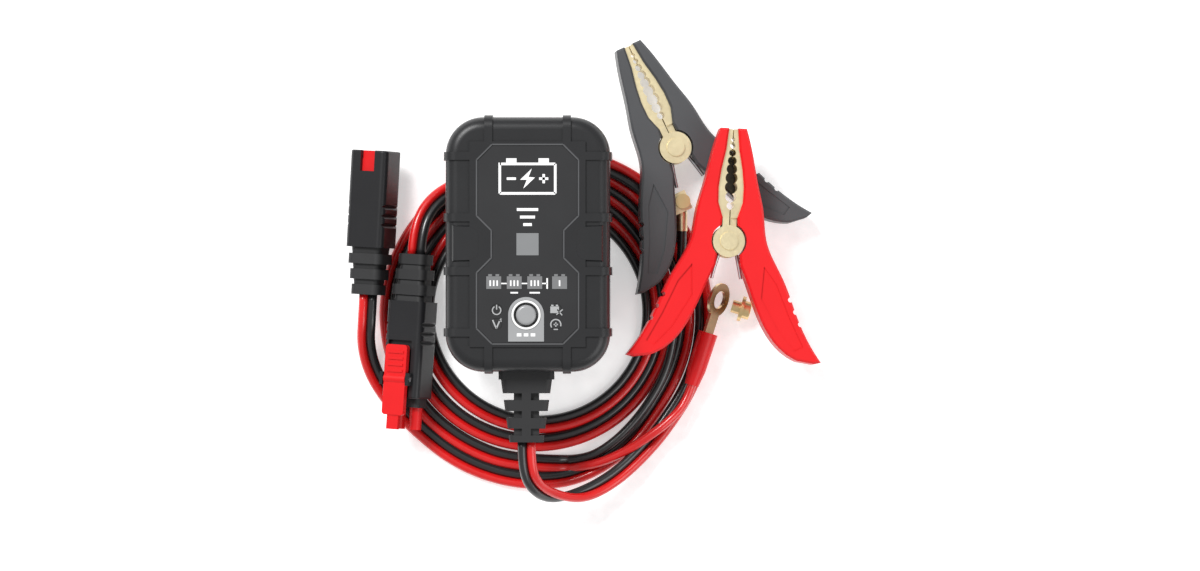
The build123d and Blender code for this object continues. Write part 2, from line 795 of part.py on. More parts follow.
clamp_kit = {
    "moving_arm": moving_arm,
    "fixed_jaw": fixed_jaw,
    "moving_jaw": moving_jaw,
    "rivet": clamp_rivet(),
    "spring": clamp_spring(),
}
for colour, seat in (("black", black_plane), ("red", red_plane)):
    for name, shape in clamp_kit.items():
        with BuildPart() as clamp_piece:
            with Locations(seat.location):
                add(shape)
        save(clamp_piece, f"{colour}_{name}")

with BuildPart() as black_terminal_tab:
    with Locations(black_plane.location):
        with Locations((tab_u, tab_v, tab_thick / 2)):
            Box(9.0, 7.0, tab_thick)
        with Locations((terminal_u, tab_v, 0)):
            Cylinder(screw_radius + 0.1, 4, mode=Mode.SUBTRACT)
save(black_terminal_tab, "black_terminal_tab")

with BuildPart() as black_terminal_screw:
    with Locations(black_plane.location):
        with Locations((terminal_u, tab_v, tab_thick)):
            Cylinder(screw_head, 1.8, align=(Align.CENTER, Align.CENTER, Align.MIN))
            Box(3.2, 0.8, 2.0, mode=Mode.SUBTRACT)
            Box(0.8, 3.2, 2.0, mode=Mode.SUBTRACT)
        with Locations((terminal_u, tab_v, tab_thick)):
            Cylinder(screw_radius, 5.2, align=(Align.CENTER, Align.CENTER, Align.MAX))
save(black_terminal_screw, "black_terminal_screw")

lug_drop = 2.0
lug_radius = 1.9
lug_heading = (-sin(radians(black_turn)), -cos(radians(black_turn)))
lug_reach = (1.6, 10.4)

with BuildPart() as black_wire_lug:
    with Locations(black_plane.location):
        with Locations((terminal_u, tab_v, -lug_thick / 2)):
            Cylinder(lug_ring, lug_thick)
            Cylinder(screw_radius + 0.1, 4, mode=Mode.SUBTRACT)
    near = Vector(terminal_u + lug_heading[0] * lug_reach[0], tab_v + lug_heading[1] * lug_reach[0], -lug_drop)
    far = Vector(terminal_u + lug_heading[0] * lug_reach[1], tab_v + lug_heading[1] * lug_reach[1], -lug_drop)
    near_point = black_plane.from_local_coords(near)
    lug_end = black_plane.from_local_coords(far)
    with BuildSketch(Plane(near_point, z_dir=lug_end - near_point)):
        Circle(lug_radius)
    extrude(amount=lug_reach[1] - lug_reach[0])
save(black_wire_lug, "black_wire_lug")

# ---------------------------------------------------------------- ring terminal and its screw
ring_hole = 3.2
ring_radius = 6.0
ring_thick = 1.0
ring_tilt = 57.0
ring_centre = Vector(66.8, -19.3, 8.6)
ring_along = Vector(0.301, 0.954, 0).normalized()
ring_side = ring_along.cross(upward)
ring_up = ring_side * sin(radians(ring_tilt)) + upward * cos(radians(ring_tilt))
ring_plane = Plane(ring_centre, x_dir=ring_along, z_dir=ring_up)
strap_length = 12.2
boot_length = 19.3
boot_wide = 3.5
boot_narrow = 2.5

with BuildPart() as ring_terminal:
    with BuildSketch(ring_plane.offset(-ring_thick / 2)):
        Circle(ring_radius)
        with Locations((-strap_length / 2, 0)):
            Rectangle(strap_length, 5.4)
        Circle(ring_hole, mode=Mode.SUBTRACT)
    extrude(amount=ring_thick)
save(ring_terminal, "ring_terminal")

boot_top = ring_centre - ring_along * strap_length
boot_end = boot_top - ring_along * boot_length

with BuildPart() as ring_boot:
    with BuildSketch(Plane(boot_top, z_dir=-ring_along)):
        Circle(boot_wide)
    with BuildSketch(Plane(boot_top - ring_along * boot_length * 0.7, z_dir=-ring_along)):
        Circle(boot_wide - 0.2)
    loft()
    with BuildSketch(Plane(boot_top - ring_along * boot_length * 0.7, z_dir=-ring_along)):
        Circle(boot_wide - 0.2)
    with BuildSketch(Plane(boot_end, z_dir=-ring_along)):
        Circle(boot_narrow)
    loft()
save(ring_boot, "ring_boot")

screw_plane = Plane((71.6, -21.5, 4.8), z_dir=(0.958, -0.287, 0))
thread_radius = 2.25
thread_length = 3.0

with BuildPart() as terminal_screw:
    with BuildSketch(screw_plane):
        Circle(thread_radius)
    extrude(amount=thread_length)
    with BuildSketch(screw_plane.offset(thread_length)):
        Circle(4.5)
    extrude(amount=1.2)
    with BuildSketch(screw_plane.offset(thread_length + 1.2)):
        Circle(3.15)
    extrude(amount=2.6)
    fillet(terminal_screw.faces().sort_by(Axis(screw_plane.origin, screw_plane.z_dir))[-1].edges(), 0.5)
    with BuildSketch(screw_plane.offset(thread_length + 2.6)):
        Rectangle(4.4, 0.9)
        Rectangle(0.9, 4.4)
    extrude(amount=3, mode=Mode.SUBTRACT)
save(terminal_screw, "terminal_screw")

# ---------------------------------------------------------------- cords
with BuildPart() as cord_coil:
    with BuildSketch(Plane.XZ.offset(-coil_y)):
        with Locations((coil_x + (coil_inner + coil_outer) / 2, coil_height / 2)):
            RectangleRounded(coil_outer - coil_inner, coil_height, 1.6)
    revolve(axis=Axis((coil_x, coil_y, 0), (0, 0, 1)))
save(cord_coil, "cord_coil")


def corner_radii(route):
    """As large an arc at each corner as its two runs allow."""
    radii = []
    for before, corner, after in zip(route, route[1:], route[2:]):
        first = Vector(corner) - Vector(before)
        second = Vector(after) - Vector(corner)
        half_turn = radians(first.get_angle(second)) / 2
        radii.append(0.45 * min(first.length, second.length) / tan(half_turn))
    return radii


def cord_tube(route, diameter):
    radii = corner_radii(route)
    heading = Vector(route[1]) - Vector(route[0])
    with BuildPart(mode=Mode.PRIVATE) as tube:
        with BuildLine() as path:
            FilletPolyline(*route, radius=radii)
        with BuildSketch(Plane(route[0], z_dir=heading)):
            Circle(diameter / 2)
        sweep()
    length = path.wire().length
    expected = pi * diameter**2 / 4 * length
    print([round(radius, 1) for radius in radii], "mm radii,", round(length, 1), "mm long,")
    print("  volume over section times length:", round(tube.part.volume / expected, 5))
    return tube.part


charger_route = [
    (relief_x, -relief_end, split_z),
    (relief_x, -relief_end - 9.6, split_z),
    (2.6, -88.0, 29.4),
    (10.2, -93.2, 20.8),
    (21.5, -92.2, 13.2),
    (33.0, -85.4, 8.8),
    (43.0, -75.0, 6.0),
    (50.8, -64.0, 4.2),
    (56.8, -52.0, 2.9),
]
plug_route = [
    tuple(plug_start),
    tuple(plug_start - plug_along * 9.2),
    (-34.6, 15.0, 9.6),
    (-26.5, 20.2, 6.0),
    (-17.0, 22.4, 3.6),
    (-8.0, 22.9, 2.8),
]
socket_route = [
    tuple(socket_start),
    tuple(socket_start - socket_along * 8.8),
    (-57.6, -34.8, 9.0),
    (-55.6, -43.8, 5.0),
    (-50.4, -52.6, 3.2),
]
red_route = [
    (7.0, -79.4, 3.0),
    (17.0, -79.0, 4.6),
    (27.5, -76.4, 6.4),
    (37.0, -71.4, 8.6),
    (45.2, -65.0, 11.0),
    (51.4, -60.6, 10.6),
    tuple(boot_end - ring_along * 6.6),
    tuple(boot_end),
]
black_route = [
    (8.0, -74.0, 3.0),
    (19.6, -71.6, 5.0),
    (31.8, -65.4, 6.3),
    (41.6, -56.4, 6.5),
    (48.4, -45.2, 6.4),
    (51.4, -33.2, 6.5),
    (51.6, -22.6, 7.0),
    (52.6, -13.0, 8.4),
    tuple(lug_end + (lug_end - near_point).normalized() * 9.0),
    tuple(lug_end),
]

with BuildPart() as charger_lead:
    add(cord_tube(charger_route, lead_diameter))
save(charger_lead, "charger_lead")

with BuildPart() as plug_lead:
    add(cord_tube(plug_route, lead_diameter))
save(plug_lead, "plug_lead")

with BuildPart() as socket_lead:
    add(cord_tube(socket_route, lead_diameter))
save(socket_lead, "socket_lead")

with BuildPart() as red_wire:
    add(cord_tube(red_route, wire_diameter))
save(red_wire, "red_wire")

with BuildPart() as black_wire:
    add(cord_tube(black_route, wire_diameter))
save(black_wire, "black_wire")
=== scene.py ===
import bpy
import bmesh
import math
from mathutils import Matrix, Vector


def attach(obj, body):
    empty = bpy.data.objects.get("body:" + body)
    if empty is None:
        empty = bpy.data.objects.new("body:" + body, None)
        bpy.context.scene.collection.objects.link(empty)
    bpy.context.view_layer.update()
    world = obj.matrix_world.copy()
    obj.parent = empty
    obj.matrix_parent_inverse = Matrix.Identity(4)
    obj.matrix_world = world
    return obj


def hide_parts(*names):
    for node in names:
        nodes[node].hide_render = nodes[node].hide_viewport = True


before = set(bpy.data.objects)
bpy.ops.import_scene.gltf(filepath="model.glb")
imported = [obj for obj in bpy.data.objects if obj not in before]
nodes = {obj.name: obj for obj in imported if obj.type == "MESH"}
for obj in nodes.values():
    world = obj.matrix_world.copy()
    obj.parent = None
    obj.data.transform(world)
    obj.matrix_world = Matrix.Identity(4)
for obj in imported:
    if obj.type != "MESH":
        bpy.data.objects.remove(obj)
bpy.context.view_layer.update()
mm = 0.001
print("frame loaded")

# camera, lights and floor
studio = {
    "centre": (25.1, -14.3),
    "width": 418.8,
    "eyeHeight": 2600.0,
    "focusHeight": 30.0,
    "sensor": 36.0,
    # name, place and size in metres, watts
    "lights": (
        ("keyLight", (-0.55, 0.75, 1.15), 0.55, 21.0),
        ("fillLight", (0.9, -0.5, 1.0), 0.9, 7.0),
    ),
    "lightAim": (0.02, -0.01, 0.02),
    "floorReach": 3,
    "floorColour": (0.8, 0.8, 0.8, 1),
    "floorGlow": 0.42,
    "worldStrength": 0.5,
}


def makeCamera():
    lens = bpy.data.cameras.new("studioCamera")
    lens.sensor_width = studio["sensor"]
    lens.lens = studio["sensor"] * (studio["eyeHeight"] - studio["focusHeight"]) / studio["width"]
    lens.clip_end = 20
    camera = bpy.data.objects.new("studioCamera", lens)
    bpy.context.scene.collection.objects.link(camera)
    x, y = studio["centre"]
    camera.location = (x * mm, y * mm, studio["eyeHeight"] * mm)
    bpy.context.scene.camera = camera


def areaLight(name, place, size, power):
    lamp = bpy.data.lights.new(name, "AREA")
    lamp.size = size
    lamp.energy = power
    holder = bpy.data.objects.new(name, lamp)
    bpy.context.scene.collection.objects.link(holder)
    holder.location = place
    aim = Vector(studio["lightAim"]) - holder.location
    holder.rotation_euler = aim.to_track_quat("-Z", "Y").to_euler()


makeCamera()
for light in studio["lights"]:
    areaLight(*light)
world = bpy.data.worlds.new("softRoom")
world.use_nodes = True
sky = world.node_tree.nodes["Background"]
sky.inputs["Color"].default_value = (1, 1, 1, 1)
sky.inputs["Strength"].default_value = studio["worldStrength"]
bpy.context.scene.world = world
bpy.context.scene.view_settings.view_transform = "Standard"


# shader maths as Python expressions
class Value:
    def __init__(self, shader, socket):
        self.shader = shader
        self.socket = socket

    def maths(self, operation, other, swapped=False):
        pair = (other, self) if swapped else (self, other)
        return self.shader.node("ShaderNodeMath", {"operation": operation}, {0: pair[0], 1: pair[1]})

    def __add__(self, other): return self.maths("ADD", other)
    def __radd__(self, other): return self.maths("ADD", other)
    def __sub__(self, other): return self.maths("SUBTRACT", other)
    def __rsub__(self, other): return self.maths("SUBTRACT", other, True)
    def __mul__(self, other): return self.maths("MULTIPLY", other)
    def __rmul__(self, other): return self.maths("MULTIPLY", other)


class Shader:
    def __init__(self, name):
        self.material = bpy.data.materials.new(name)
        self.material.use_nodes = True
        self.tree = self.material.node_tree
        self.surface = self.tree.nodes["Principled BSDF"]

    def node(self, kind, settings=None, inputs=None, output=0):
        made = self.tree.nodes.new(kind)
        for key, value in (settings or {}).items():
            setattr(made, key, value)
        for key, value in (inputs or {}).items():
            self.feed(made.inputs[key], value)
        return Value(self, made.outputs[output])

    def feed(self, socket, value):
        if isinstance(value, Value):
            self.tree.links.new(value.socket, socket)
        else:
            socket.default_value = value

    def set(self, **inputs):
        for name, value in inputs.items():
            self.feed(self.surface.inputs[name.replace("_", " ")], value)

    def noise(self, scale, detail=3.0, rough=0.5):
        where = self.node("ShaderNodeTexCoord", output=3)  # object coordinates
        inputs = {"Vector": where, "Scale": scale, "Detail": detail, "Roughness": rough}
        return self.node("ShaderNodeTexNoise", {}, inputs)

    def mix(self, factor, first, second):
        inputs = {"Factor": factor, 6: first, 7: second}
        return self.node("ShaderNodeMix", {"data_type": "RGBA"}, inputs, output=2)

    def bump(self, height, strength, distance):
        inputs = {"Height": height, "Strength": strength, "Distance": distance}
        return self.node("ShaderNodeBump", {}, inputs)


def shade(colour, factor):
    return tuple(min(1, c * factor) for c in colour[:3]) + (1,)


# grain scales are per metre, bump distances in metres
def mouldedPlastic(name, colour, roughness=0.42, grain=0.12, coat=0.0, mottle=0.12, shine=0.5):
    s = Shader(name)
    broad = s.noise(70.0, 2.0)
    fine = s.noise(2600.0, 2.0)
    s.set(Base_Color=s.mix(broad, shade(colour, 1 - mottle), shade(colour, 1 + mottle)))
    s.set(Roughness=roughness - 0.07 + fine * 0.09 + broad * 0.05)
    s.set(Normal=s.bump(fine, grain, 0.00012), Coat_Weight=coat)
    s.surface.inputs["Coat Roughness"].default_value = 0.12
    s.surface.inputs["Specular IOR Level"].default_value = shine
    return s.material


def platedMetal(name, colour, roughness=0.24):
    s = Shader(name)
    brushed = s.noise(900.0, 4.0, 0.6)
    stain = s.noise(120.0, 3.0)
    s.set(Base_Color=s.mix(stain, shade(colour, 0.86), shade(colour, 1.06)))
    s.set(Metallic=1.0, Roughness=roughness + brushed * 0.14 + stain * 0.06)
    s.set(Normal=s.bump(brushed, 0.1, 0.00008))
    return s.material


def softRubber(name, colour, roughness=0.6):
    s = Shader(name)
    dust = s.noise(210.0, 4.0, 0.6)
    pores = s.noise(3200.0, 2.0)
    s.set(Base_Color=s.mix(dust, shade(colour, 0.8), shade(colour, 1.25)))
    s.set(Roughness=roughness - 0.06 + dust * 0.14)
    s.set(Normal=s.bump(pores, 0.16, 0.0001))
    return s.material


def cableJacket(name, colour):
    s = Shader(name)
    wave = s.noise(160.0, 2.0)
    skin = s.noise(1500.0, 2.0)
    s.set(Base_Color=s.mix(wave, shade(colour, 0.85), shade(colour, 1.1)))
    s.set(Roughness=0.24 + skin * 0.12)
    s.set(Normal=s.bump(wave, 0.12, 0.0004), Coat_Weight=0.35)
    s.surface.inputs["Coat Roughness"].default_value = 0.1
    return s.material


# painted light: faces square to the facing axis get a darkened brown as painted shade, and edges get the bright
# edge colour as a painted highlight
def shadedFaceMetal(name, shadedFaceColour, litEdgeColour, facing):
    s = Shader(name)
    normal = s.node("ShaderNodeTexCoord", output=1)
    dot = {"operation": "DOT_PRODUCT"}
    turned = s.node("ShaderNodeVectorMath", dot, {0: normal, 1: facing}, output=1)
    flat = s.node("ShaderNodeMath", {"operation": "ABSOLUTE"}, {0: turned})
    # mask is 1 on faces square to the facing axis, where shade is painted, and 0 on the edges, where a highlight
    # is painted
    shadedFaceMask = s.node("ShaderNodeMapRange", {}, {"Value": flat, "From Min": 0.75, "From Max": 0.95})
    stain = s.noise(260.0, 3.0)
    shadedFaceTone = s.mix(stain, shade(shadedFaceColour, 0.8), shade(shadedFaceColour, 1.15))
    s.set(Base_Color=s.mix(shadedFaceMask, litEdgeColour, shadedFaceTone), Metallic=1.0, Roughness=0.26 + stain * 0.14)
    s.set(Normal=s.bump(stain, 0.08, 0.00008))
    return s.material


brassColour = (0.98, 0.83, 0.53)
ringFacing = (0.7998, -0.2524, 0.5446)  # axis of the ring terminal's hole
finishes = {
    "case": mouldedPlastic("caseCharcoal", (0.015, 0.0153, 0.0165), 0.36, 0.16, shine=0.36),
    "panel": mouldedPlastic("panelBlack", (0.021, 0.0212, 0.0225), 0.45, 0.08, shine=0.3),
    # panel rim: a lighter grey than the case, a painted highlight for light caught on the panel frame's chamfered
    # edge
    "rim": mouldedPlastic("rimPaintedHighlight", (0.075, 0.076, 0.08), 0.3, 0.08, 0.2),
    "gasket": softRubber("gasketRubber", (0.02, 0.02, 0.02)),
    "lens": mouldedPlastic("lensGrey", (0.2, 0.205, 0.21), 0.22, 0.03, 0.3),
    "panelLens": mouldedPlastic("lampSmoke", (0.17, 0.172, 0.176), 0.25, 0.02, 0.3),
    "icon": mouldedPlastic("iconPaint", (0.36, 0.365, 0.37), 0.5, 0.04),
    "print": mouldedPlastic("printWhite", (0.82, 0.82, 0.82), 0.5, 0.04),
    "button": mouldedPlastic("buttonGrey", (0.3, 0.305, 0.31), 0.3, 0.05, 0.2),
    "white": mouldedPlastic("surroundWhite", (0.82, 0.82, 0.81), 0.35, 0.04),
    "label": mouldedPlastic("labelGrey", (0.3, 0.305, 0.31), 0.45, 0.04, shine=0.3),
    "board": mouldedPlastic("boardGreen", (0.02, 0.16, 0.06), 0.3, 0.03),
    "component": mouldedPlastic("componentDark", (0.07, 0.07, 0.075), 0.5, 0.1),
    "steel": platedMetal("platedSteel", (0.62, 0.62, 0.63), 0.25),
    "brass": platedMetal("platedBrass", brassColour, 0.28),
    # ring terminal brass: dark brown painted shade on its faces, bright brass painted highlight on its edges
    "brassShadedFace": shadedFaceMetal("brassPaintedShade", (0.30, 0.20, 0.11), brassColour + (1,), ringFacing),
    "screwBrass": platedMetal("screwBrass", (0.84, 0.64, 0.33), 0.22),
    "rubber": softRubber("reliefRubber", (0.012, 0.012, 0.013)),
    "shell": mouldedPlastic("connectorBlack", (0.012, 0.012, 0.0135), 0.34, 0.12, shine=0.38),
    "red": mouldedPlastic("clampRed", (0.7, 0.01, 0.013), 0.4, 0.08, mottle=0.05, shine=0.28),
    "leverRed": mouldedPlastic("leverRed", (0.66, 0.008, 0.01), 0.38, 0.08, mottle=0.06, shine=0.3),
    "black": mouldedPlastic("clampBlack", (0.066, 0.068, 0.072), 0.4, 0.12, mottle=0.08, shine=0.36),
    "cordRed": cableJacket("cordRed", (0.66, 0.008, 0.008)),
    "cordBlack": cableJacket("cordBlack", (0.014, 0.014, 0.015)),
    "boot": mouldedPlastic("bootRed", (0.64, 0.008, 0.01), 0.36, 0.1, shine=0.3),
    "floor": softRubber("floorPaper", studio["floorColour"], 0.85),
}
print("materials ready")


def makeFloor():
    mesh = bpy.data.meshes.new("studioFloor")
    r = studio["floorReach"]
    mesh.from_pydata([(-r, -r, 0), (r, -r, 0), (r, r, 0), (-r, r, 0)], [], [(0, 1, 2, 3)])
    mesh.materials.append(finishes["floor"])
    floor = bpy.data.objects.new("studioFloor", mesh)
    bpy.context.scene.collection.objects.link(floor)
    paper = finishes["floor"].node_tree.nodes["Principled BSDF"]
    paper.inputs["Emission Color"].default_value = (1, 1, 1, 1)
    paper.inputs["Emission Strength"].default_value = studio["floorGlow"]


makeFloor()

# cords: routes in millimetres, and the turns of the coil worked out by a loop
coil = {
    "centre": (3.1, -23.9),
    "lanes": (59.4, 52.9, 46.5, 40.3),  # centre radii, outermost first
    "lay": 1.75,  # height of the lead's middle
    "step": 20,  # degrees between route points
    "wander": 0.9,
    "chargerAngles": (336, 1160),
    "chargerShifts": ((425, 475), (785, 835)),  # where the lead moves inwards
    "crossing": ((405, 430), (470, 495), 3.3),  # rises over the other lead, and how far
    "chargerRise": (1130, 1160, 3.2),
    "socketAngles": (222, 640),
    "socketShift": (284, 322),
    "splitDrift": (600, 640, 1.4),
    "split": (14.5, -77.15),
}
lead = {"conductor": 1.6, "pitch": 3.15, "sides": 14, "turnOver": (14, 52)}
wire = {"radius": 1.6}
chargerRoute = [
    (-0.5, -68.9, 34), (-0.5, -77.0, 33.6), (1.9, -84.4, 29.2), (8.6, -88.6, 20.8),
    (18.8, -88.2, 13.4), (29.6, -82.6, 9.2), (39.0, -74.2, 7.0), (47.6, -64.4, 4.6),
]
plugTail = [
    (-4.5, 22.4, 5.0), (-15.0, 23.2, 5.2), (-25.5, 20.8, 7.0), (-34.2, 15.0, 10.2),
    (-38.8, 5.9, 13.5), (-39.4, -3.3, 13.52),
]
socketRoute = [
    (-56.3, -17.5, 13.52), (-56.8, -26.3, 13.3), (-57.4, -34.8, 9.0), (-55.4, -43.8, 4.6), (-50.4, -52.6, 2.4),
]
redRoute = [
    (14.8, -78.7, 1.8), (19.6, -78.0, 3.6), (26.0, -76.4, 5.4), (34.6, -72.4, 7.8), (42.6, -67.2, 10.4),
    (49.6, -61.8, 10.8), (55.3, -55.8, 8.8), (57.32, -49.34, 8.6),
]
blackRoute = [
    (14.2, -75.6, 1.8), (19.6, -75.3, 2.8), (26.4, -72.2, 4.6), (34.2, -65.8, 5.3), (41.8, -56.6, 5.4),
    (48.2, -45.2, 5.3), (51.0, -33.6, 5.4), (51.6, -22.6, 6.6), (52.6, -13.0, 8.2), (53.95, -4.2, 9.2),
    (53.93, 4.75, 8.98),
]


def ease(value, low, high):
    t = min(1, max(0, (value - low) / (high - low)))
    return t * t * (3 - 2 * t)


def coilPoint(angle, radius, height):
    turn = math.radians(angle)
    loose = radius + coil["wander"] * math.sin(turn * 1.37 + 0.6) * (radius / 60) ** 2
    x, y = coil["centre"]
    return (x + loose * math.cos(turn), y + loose * math.sin(turn), height)


def chargerTurns():
    outer, _, third, inner = coil["lanes"]
    toThird, toInner = coil["chargerShifts"]
    up, down, hump = coil["crossing"]
    riseFrom, riseTo, rise = coil["chargerRise"]
    points = []
    for angle in range(*coil["chargerAngles"], coil["step"]):
        radius = outer + (third - outer) * ease(angle, *toThird)
        radius += (inner - third) * ease(angle, *toInner)
        over = ease(angle, *up) - ease(angle, *down)
        height = coil["lay"] + hump * over + rise * ease(angle, riseFrom, riseTo)
        points.append(coilPoint(angle, radius, height))
    return points


def socketTurns():
    outer, second = coil["lanes"][:2]
    driftFrom, driftTo, drift = coil["splitDrift"]
    points = []
    for angle in range(*coil["socketAngles"], coil["step"]):
        radius = outer + (second - outer) * ease(angle, *coil["socketShift"])
        radius += drift * ease(angle, driftFrom, driftTo)
        points.append(coilPoint(angle, radius, coil["lay"]))
    points.append((*coil["split"], coil["lay"]))
    return points


def routeCurve(name, points, depth=0.0):
    curve = bpy.data.curves.new(name, "CURVE")
    curve.dimensions = "3D"
    spline = curve.splines.new("NURBS")
    spline.points.add(len(points) - 1)
    for point, place in zip(spline.points, points):
        point.co = (place[0] * mm, place[1] * mm, place[2] * mm, 1)
    spline.order_u = 3
    spline.use_endpoint_u = True
    spline.resolution_u = 8
    curve.bevel_depth = depth
    curve.bevel_resolution = 4
    curve.use_fill_caps = True
    holder = bpy.data.objects.new(name, curve)
    bpy.context.scene.collection.objects.link(holder)
    return holder


def routePath(name, points):
    guide = routeCurve(name + "Guide", points)
    bpy.context.view_layer.update()
    mesh = bpy.data.meshes.new_from_object(guide)
    path = [v.co.copy() for v in mesh.vertices]
    bpy.data.meshes.remove(mesh)
    bpy.data.objects.remove(guide)
    return path


def twinLead(name, points, twist):
    path = routePath(name, points)
    along = [0.0]
    for a, b in zip(path, path[1:]):
        along.append(along[-1] + (b - a).length)
    mesh = bpy.data.meshes.new(name)
    bm = bmesh.new()
    sides = lead["sides"]
    for strand, sign in ((0, 1), (1, -1)):
        rings = []
        for index, centre in enumerate(path):
            ahead = path[min(index + 1, len(path) - 1)] - path[max(index - 1, 0)]
            ahead.normalize()
            side = ahead.cross(Vector((0, 0, 1))).normalized()
            up = side.cross(ahead)
            phi = twist(along[index] / mm)
            out = side * math.cos(phi) + up * math.sin(phi)
            over = up * math.cos(phi) - side * math.sin(phi)
            middle = centre + out * sign * lead["pitch"] / 2 * mm
            ring = []
            for k in range(sides):
                a = 2 * math.pi * k / sides
                reach = out * math.cos(a) + over * math.sin(a)
                ring.append(bm.verts.new(middle + reach * lead["conductor"] * mm))
            rings.append(ring)
        for first, second in zip(rings, rings[1:]):
            for k in range(sides):
                nextSide = (k + 1) % sides
                face = bm.faces.new((first[k], first[nextSide], second[nextSide], second[k]))
                face.material_index = strand
                face.smooth = True
        for ring in (rings[0], list(reversed(rings[-1]))):
            face = bm.faces.new(ring)
            face.material_index = strand
    bmesh.ops.recalc_face_normals(bm, faces=bm.faces)
    bm.to_mesh(mesh)
    bm.free()
    mesh.materials.append(finishes["cordRed"])
    mesh.materials.append(finishes["cordBlack"])
    piece = bpy.data.objects.new(name, mesh)
    bpy.context.scene.collection.objects.link(piece)
    print(name, "is", round(along[-1], 4), "m long")
    return piece, path


def leaveCharger(distance):
    return math.pi * (1 - ease(distance, *lead["turnOver"]))


def makeCords():
    points = chargerRoute + chargerTurns() + plugTail
    piece, path = twinLead("chargerCord", points, leaveCharger)
    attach(piece, "charger")
    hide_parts("charger_lead", "cord_coil", "plug_lead")
    piece, path = twinLead("accessoryCord", socketRoute + socketTurns(), lambda distance: 0.0)
    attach(piece, "charger")
    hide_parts("socket_lead")
    singles = (
        ("redConductor", redRoute, "cordRed", "red_wire", "red_cord", 0.056, ("ring_boot", "ring_terminal")),
        ("blackConductor", blackRoute, "cordBlack", "black_wire", "black_cord", 0.099, ("black_wire_lug",)),
    )
    for name, route, finish, node, slot, length, ends in singles:
        piece = routeCurve(name, route, wire["radius"] * mm)
        piece.data.materials.append(finishes[finish])
        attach(piece, "charger")
        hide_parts(node)


makeCords()
print("cords laid")

# finishes of the carried-over parts
partFinish = {
    "case": ("rear_case", "front_case"),
    "panel": ("face_panel", "mode_lamps"),
    "gasket": ("case_gasket",),
    "steel": ("case_screws", "black_spring", "red_spring", "lever_pin"),
    "lens": ("status_window",),
    "panelLens": ("battery_lamps",),
    "button": ("mode_button",),
    "white": ("button_surround",),
    "label": ("button_label",),
    "board": ("circuit_board",),
    "component": ("tactile_switch", "switch_plunger", "transformer", "smoothing_capacitors",
                  "indicator_leds", "blade_carrier", "internal_leads"),
    "brass": ("plug_blades", "socket_pins", "black_rivet", "black_fixed_jaw", "black_moving_jaw",
              "black_terminal_tab", "black_wire_lug", "red_rivet", "red_fixed_jaw", "red_moving_jaw"),
    "screwBrass": ("black_terminal_screw", "terminal_screw"),
    "brassShadedFace": ("ring_terminal",),
    "rubber": ("strain_relief", "plug_relief", "socket_relief", "plug_seal"),
    "shell": ("plug_shell", "socket_shell"),
    "red": ("red_fixed_arm", "red_moving_arm"),
    "leverRed": ("release_lever", "socket_insert", "plug_contacts"),
    "black": ("black_fixed_arm", "black_moving_arm"),
    "boot": ("ring_boot",),
}
for finish, names in partFinish.items():
    for name in names:
        part = nodes[name]
        part.data.materials.clear()
        part.data.materials.append(finishes[finish])
print("parts finished")


# printed marks and raised pads, from outlines in millimetres
def stroke(a, b, width):
    dx, dy = b[0] - a[0], b[1] - a[1]
    size = math.hypot(dx, dy)
    nx, ny = -dy / size * width / 2, dx / size * width / 2
    return [(a[0] + nx, a[1] + ny), (a[0] - nx, a[1] - ny), (b[0] - nx, b[1] - ny), (b[0] + nx, b[1] + ny)]


def bar(x, y, width, height):
    return stroke((x - width / 2, y), (x + width / 2, y), height)


def arcBand(x, y, radius, width, start, end):
    steps = int((end - start) / 12)  # strips of about 12 degrees
    angles = [math.radians(start + (end - start) * k / steps) for k in range(steps + 1)]
    inner, outer = radius - width / 2, radius + width / 2
    pieces = []
    for a, b in zip(angles, angles[1:]):
        corners = ((inner, a), (outer, a), (outer, b), (inner, b))
        pieces.append([(x + reach * math.cos(turn), y + reach * math.sin(turn)) for reach, turn in corners])
    return pieces


def chain(points, width):
    return [stroke(a, b, width) for a, b in zip(points, points[1:])]


def raised(name, outlines, low, high, finish, body="charger", inset=0.0):
    mesh = bpy.data.meshes.new(name)
    bm = bmesh.new()
    for outline in outlines:
        cx = sum(p[0] for p in outline) / len(outline)
        cy = sum(p[1] for p in outline) / len(outline)
        base = [bm.verts.new((x * mm, y * mm, low * mm)) for x, y in outline]
        rim = []
        for x, y in outline:
            dx, dy = x - cx, y - cy
            pull = 1 - inset / math.hypot(dx, dy)
            rim.append(bm.verts.new(((cx + dx * pull) * mm, (cy + dy * pull) * mm, high * mm)))
        count = len(outline)
        for k in range(count):
            after = (k + 1) % count
            bm.faces.new((base[k], base[after], rim[after], rim[k]))
        bm.faces.new(rim)
        bm.faces.new(list(reversed(base)))
    bmesh.ops.recalc_face_normals(bm, faces=bm.faces)
    bm.to_mesh(mesh)
    bm.free()
    mesh.materials.append(finishes[finish])
    piece = bpy.data.objects.new(name, mesh)
    bpy.context.scene.collection.objects.link(piece)
    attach(piece, body)


def nodeTop(name):
    part = nodes[name]
    return max((part.matrix_world @ v.co).z for v in part.data.vertices) / mm


def surfaceTop(name, x, y):
    part = nodes[name]
    away = part.matrix_world.inverted()
    start = away @ Vector((x * mm, y * mm, 0.2))
    down = (away @ Vector((x * mm, y * mm, 0))) - start
    hit, place = part.ray_cast(start, down)[:2]
    return (part.matrix_world @ place).z / mm if hit else None


panelMarks = {
    "top": 50.3,
    "film": 0.09,
    "iconSunk": 0.01,
    "iconProud": 0.03,
    "lampRow": -13.3,
    "lampPlaces": (-11.7, -4.6, 2.5, 11.1),
    "lampBars": (3, 3, 3, 1),
    "lampPost": (1.25, 2.55, 1.3, 0.8),  # place from the lamp's middle, then size
    "lampTick": (1.2, 0.55, 2.0),  # pitch, then size
    "emblem": (0.0, 23.2),
    "level": (0.0, 9.4),
    "dashes": (-0.5, -31.4, 2.4, 1.6, 1.1),  # middle, pitch, then size
    "unevenness": 0.04,
    "seed": 7,
}


